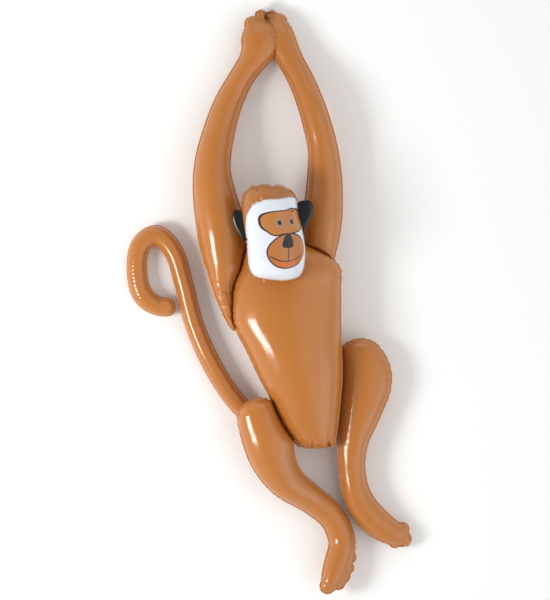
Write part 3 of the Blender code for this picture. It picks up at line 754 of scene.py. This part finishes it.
# Arms
# Two long bags reach past the head, welded into the trunk at the shoulders. Each hand is the
# end of its arm, with the fingers as short lobes, and the two hands meet.
def push_digits(grid, digits, heights):
    """Swells the end of a bag into short round lobes, given by place and radius in thousandths."""
    lobe_shape = (1.0, 1.0, 0.92)
    for x, y, radius in digits:
        middle = np.array([x * SHARE, y * SHARE, heights(x * SHARE, y * SHARE)])
        normal = outward(grid) / lobe_shape
        offset = (grid - middle) / lobe_shape
        a = (normal * normal).sum(axis=2)
        b = (normal * offset).sum(axis=2)
        c = (offset * offset).sum(axis=2) - (radius * SHARE) ** 2
        inside = c < 0
        push = np.where(inside, (-b + np.sqrt(np.maximum(b * b - a * c, 0))) / a, 0)
        grid = grid + outward(grid) * push[..., None]
    return grid


def height_beside(places):
    """Gives the height of a limb's middle at the place nearest to a point."""
    _, line = smooth_path(places, 0.002)

    def height(x, y):
        return float(line[int(np.argmin((line[:, 0] - x) ** 2 + (line[:, 1] - y) ** 2)), 2])

    return height


def eased(grid, places, rounds, reach):
    """Averages the film near some places, so that lobes run into the hand without steps."""
    near = np.zeros(grid.shape[:2])
    for x, y, radius in places:
        gap = np.hypot(grid[..., 0] - x * SHARE, grid[..., 1] - y * SHARE)
        near = np.maximum(near, np.clip((radius * SHARE + reach - gap) / 0.004, 0, 1))
    for _ in range(rounds):
        mean = (np.roll(grid, 1, axis=1) + np.roll(grid, -1, axis=1)) / 4
        mean[1:-1] += (grid[2:] + grid[:-2]) / 4
        mean[0], mean[-1] = grid[0], grid[-1]
        grid = grid + (mean - grid) * near[..., None] * 0.5
    return grid


trunk_weld = np.vstack((trunk_grid[:, 0], trunk_grid[::-1, trunk_grid.shape[1] // 2]))
weld_left = trunk_grid[:, np.argmin(trunk_grid[:, :, 0].mean(axis=0))]
weld_right = trunk_grid[:, np.argmax(trunk_grid[:, :, 0].mean(axis=0))]


def tucked(grid, base, rise, reach):
    """Draws a limb's film down to the trunk's weld, from which it bulges up again to its own height."""
    x, y = grid[..., 0].ravel(), grid[..., 1].ravel()
    gap = np.full(len(x), 0.2)
    for part in np.array_split(trunk_weld, 12):
        squares = (x[:, None] - part[:, 0]) ** 2 + (y[:, None] - part[:, 1]) ** 2
        gap = np.minimum(gap, np.sqrt(squares.min(axis=1)))
    left = np.interp(-y, -weld_left[:, 1], weld_left[:, 0])
    right = np.interp(-y, -weld_right[:, 1], weld_right[:, 0])
    beneath = (x > left) & (x < right) & (y < trunk_weld[:, 1].max()) & (y > trunk_weld[:, 1].min())
    bulge = rise * np.sqrt(1 - np.clip(1 - gap / reach, 0, 1) ** 2) + np.maximum(gap - reach, 0)
    sunk = -1.2 * np.minimum(gap, 0.014)
    top = base + np.where(beneath, sunk, bulge).reshape(grid.shape[:2])
    grid = grid.copy()
    softness = 0.004
    grid[..., 2] = 0.5 * (grid[..., 2] + top - np.sqrt((grid[..., 2] - top) ** 2 + softness ** 2))
    return grid


# Both arms' bags, and the least radius that sets the pitch of a limb's puckers
ARM_BAG = dict(step=0.0013, start_cap=(0.0144, 0.3, 0.3), end_cap=(0.0144, 0.15, 0.15), sides=88, rim=RIM)
LEAST_RADIUS = 0.015

# Across and along, share of the root's height, half width and half depth, all in thousandths
# but the share
RIGHT_ARM_ROWS = (
    (-58, -52, 1, 8, 10), (-79, 19, 1, 19.5, 22), (-77, 66, 1, 36.5, 33), (-79, 110, 0.92, 43, 38),
    (-91, 165, 1.0, 38.5, 34), (-97, 214, 0.98, 33, 31), (-86, 286, 0.45, 27.7, 27.5),
    (-65.5, 345, 0.15, 24.2, 24), (-42, 388, 0.2, 21.8, 22), (-26.5, 411, 0.28, 24.5, 20),
    (-14.5, 437, 0.32, 34.5, 20), (-18, 458, 0.32, 29.5, 17), (-22, 479, 0.3, 19, 8.5),
)
RIGHT_FINGERS = ((-28, 471.5, 13), (-14.5, 487, 10.5))
right_arm_places = limb_places(RIGHT_ARM_ROWS, TRUNK_MIDDLE)
arm_grid, arm_side, arm_front, arm_wide, _ = bag(right_arm_places, **ARM_BAG)
arm_grid = crinkle(arm_grid, arm_side, np.maximum(arm_wide, LEAST_RADIUS), seed=51)
arm_grid = push_digits(arm_grid, RIGHT_FINGERS, height_beside(right_arm_places))
arm_grid = eased(arm_grid, RIGHT_FINGERS, rounds=4, reach=0.001)
arm_grid = tucked(arm_grid, base=0.043, rise=0.044, reach=0.026)
arm_grid = creased(arm_grid, (
    (217, 290, 224, 292, 1.2, 1.3), (220, 295, 225, 301, 1.1, 1.1), (227, 286, 229, 301, 1.2, 1.2),
    (224, 292, 232, 294, 1.0, 1.1), (216, 303, 224, 306, 1.0, 1.1), (223, 306, 231, 318, 1.0, 1.2),
    (229, 302, 233, 308, 0.9, 1.0), (219, 283, 228, 279, 0.6, 1.4), (228, 312, 233, 320, 0.8, 1.0),
    (265.8, 7, 266, 22, 2.6, 1.0), (257, 13, 258, 21, 0.9, 0.9), (261, 15, 262, 23, 1.0, 0.9),
    (270, 14, 269, 23, 1.0, 0.9), (250, 20, 254, 26, 0.7, 1.0), (264, 33, 272, 32, 0.4, 1.2),
    (255, 24, 266, 27, 0.6, 1.6),
))
film_piece("right_arm", tan_film, arm_grid, arm_side, arm_front, RIM, [trunk_tree, head_tree])
right_arm_tree = boxed(arm_grid)

LEFT_ARM_ROWS = (
    (86, 42, 1, 18, 17), (88, 87, 1, 29, 27), (91, 134, 1, 34, 32), (95, 192, 0.72, 31.5, 30),
    (92, 258, 0.95, 26, 26), (85, 290, 1.0, 25, 25), (75, 324, 0.97, 24, 24), (54.5, 376, 0.5, 22.3, 21.4),
    (40, 404, 0.27, 22, 20), (26, 430, 0.13, 25, 20), (14.5, 461, 0.1, 25, 17), (6.5, 487, 0.1, 14.5, 9),
)
LEFT_FINGERS = ((17, 477, 12.5), (4.5, 487, 11))
LEFT_SHOULDER_HEIGHT = 0.84 * TRUNK_MIDDLE
left_arm_places = limb_places(LEFT_ARM_ROWS, LEFT_SHOULDER_HEIGHT)
arm_grid, arm_side, arm_front, arm_wide, _ = bag(left_arm_places, **ARM_BAG)
arm_grid = crinkle(arm_grid, arm_side, np.maximum(arm_wide, LEAST_RADIUS), seed=61)
arm_grid = push_digits(arm_grid, LEFT_FINGERS, height_beside(left_arm_places))
arm_grid = eased(arm_grid, LEFT_FINGERS, rounds=4, reach=0.001)
arm_grid = tucked(arm_grid, base=0.043, rise=0.034, reach=0.015)
arm_grid = creased(arm_grid, (
    (274, 11, 274.5, 22, 1.1, 0.9), (279.5, 15, 280, 23, 0.7, 0.9),
    (281, 40, 290, 52, 0.4, 2.0), (312, 236, 330, 252, 0.4, 1.8), (322, 240, 333, 258, 0.4, 1.6),
))
film_piece("left_arm", tan_film, arm_grid, arm_side, arm_front, RIM,
           [trunk_tree, head_tree, right_arm_tree])

# Legs
# Two bags with bent knees, welded into the trunk at the hips, both feet pointing to the
# monkey's left. The toes are small lobes of the same film.
LEG_BAG = dict(step=0.0013, start_cap=(0.0198, 0.2, 0.2), end_cap=(0.0117, 0.15, 0.15), sides=96, rim=RIM)
RIGHT_LEG_ROWS = (
    (-27, -172, 1, 31, 23), (-14, -209, 1, 41, 29), (-1.5, -233, 0.96, 46, 32.5), (2, -257, 0.9, 42, 33),
    (27.5, -308, 0.55, 32.5, 31), (76, -345, 0.15, 25, 24.5), (112, -378, 0, 23.5, 23),
    (126, -417, 0, 24, 22), (113, -464, 0.3, 22, 20), (100, -497, 0.5, 15, 14),
)
RIGHT_TOES = ((139, -443, 9), (135, -460, 9.5), (128, -475, 9.5), (119, -487, 9.5), (100, -491, 12))
RIGHT_HIP_HEIGHT = 0.031 + 32 * SHARE  # the tail's top, and half the thigh's depth
right_leg_places = limb_places(RIGHT_LEG_ROWS, RIGHT_HIP_HEIGHT)
leg_grid, leg_side, leg_front, leg_wide, _ = bag(right_leg_places, **LEG_BAG)
leg_grid = crinkle(leg_grid, leg_side, np.maximum(leg_wide, LEAST_RADIUS), seed=71)
leg_grid = push_digits(leg_grid, RIGHT_TOES, height_beside(right_leg_places))
leg_grid = eased(leg_grid, RIGHT_TOES, rounds=6, reach=0.001)
leg_grid = tucked(leg_grid, base=0.045, rise=0.046, reach=0.030)
film_piece("right_leg", tan_film, leg_grid, leg_side, leg_front, RIM, [trunk_tree, tail_tree])

LEFT_LEG_ROWS = (
    (145, -71, 0.6, 31, 19), (162, -131, 0.6, 50, 25), (153.5, -192, 0.6, 39.5, 26),
    (143, -247, 0.5, 26.5, 26), (142, -294, 0.24, 23.5, 24), (154, -345, 0.2, 25, 23.5),
    (187, -385, 0.1, 25.5, 21.5), (216, -403, 0, 21.4, 19), (234, -408, 0, 17, 15),
)
LEFT_TOES = ((229, -395, 11), (232, -412, 12), (216, -417, 9))
LEFT_HIP_HEIGHT = 0.62 * TRUNK_MIDDLE
left_leg_places = limb_places(LEFT_LEG_ROWS, LEFT_HIP_HEIGHT)
leg_grid, leg_side, leg_front, leg_wide, _ = bag(left_leg_places, **LEG_BAG)
leg_grid = crinkle(leg_grid, leg_side, np.maximum(leg_wide, LEAST_RADIUS), seed=81)
leg_grid = push_digits(leg_grid, LEFT_TOES, height_beside(left_leg_places))
leg_grid = eased(leg_grid, LEFT_TOES, rounds=6, reach=0.001)
leg_grid = tucked(leg_grid, base=0.021, rise=0.031, reach=0.052)
film_piece("left_leg", tan_film, leg_grid, leg_side, leg_front, RIM, [trunk_tree])

# Ears
# Flat flaps of two black films welded face to face, held against the sides of the head. They
# are hardly blown up, so they show the weld line round them and a slight curl.
EAR_HEIGHT = 0.0924

# Black PVC film: almost no colour of its own, with a softer gloss than the tan
black_film = pvc_film("black_glossy_pvc_film", "#080A0D", "#0E1116", 0.0, 0.24)


def ear_points(outline):
    """A closed smooth outline filled with rings that shrink to its middle, front and back."""
    control = np.array(outline) * SHARE
    count = len(control)
    places = []
    for step in range(count * 14):
        at = step / 14
        k = int(at)
        u = at - k
        a, b, c = control[k % count], control[(k + 1) % count], control[(k + 2) % count]
        places.append(0.5 * ((1 - u) ** 2 * a + (1 + 2 * u - 2 * u * u) * b + u * u * c))
    outer = np.array(places)
    centre = outer.mean(axis=0)
    rings = []
    shares = (1.0, 0.99, 0.95, 0.9, 0.86, 0.82, 0.7, 0.55, 0.4, 0.25, 0.1)
    lifts = (0.0004, 0.0007, 0.0008, 0.0008, 0.0011, 0.0015, 0.0020, 0.0023, 0.0024, 0.0024, 0.0024)
    for sign in (1, -1):
        for share, lift in zip(shares, lifts):
            flat = centre + (outer - centre) * share
            curl = 0.0012 * np.sin((flat[:, 1] - centre[1]) / 0.018)
            rings.append(np.column_stack((flat, EAR_HEIGHT + sign * lift * 0.8 + curl)))
    return np.array(rings), len(outer)


EARS = (
    ("right_ear", ((-62, 147), (-56, 152), (-46, 150), (-34, 135),
                   (-35, 105), (-41, 95), (-54, 114), (-62, 133))),
    ("left_ear", ((44, 163), (60, 168.5), (71, 167), (76, 157),
                  (74, 143), (69, 132), (60, 116), (46, 113))),
)
for ear_name, ear_outline in EARS:
    ear_rings, ear_count = ear_points(ear_outline)
    ear_faces = []
    levels = len(ear_rings) // 2
    for sheet in (0, 1):
        for level in range(levels - 1):
            row = (sheet * levels + level) * ear_count
            for j in range(ear_count):
                after = (j + 1) % ear_count
                quad = [row + j, row + after, row + ear_count + after, row + ear_count + j]
                ear_faces.append(quad[::-1] if sheet else quad)
    for j in range(ear_count):
        after = (j + 1) % ear_count
        ear_faces.append([j, levels * ear_count + j, levels * ear_count + after, after])
    for sheet in (0, 1):
        row = (sheet * levels + levels - 1) * ear_count
        ear_faces.append([row + j for j in (range(ear_count) if sheet == 0 else reversed(range(ear_count)))])
    ear_flat, ear_kept = seated(ear_rings.reshape(-1, 3), head_tree)
    make_piece(ear_name, black_film, ear_flat, ear_faces, ear_kept)
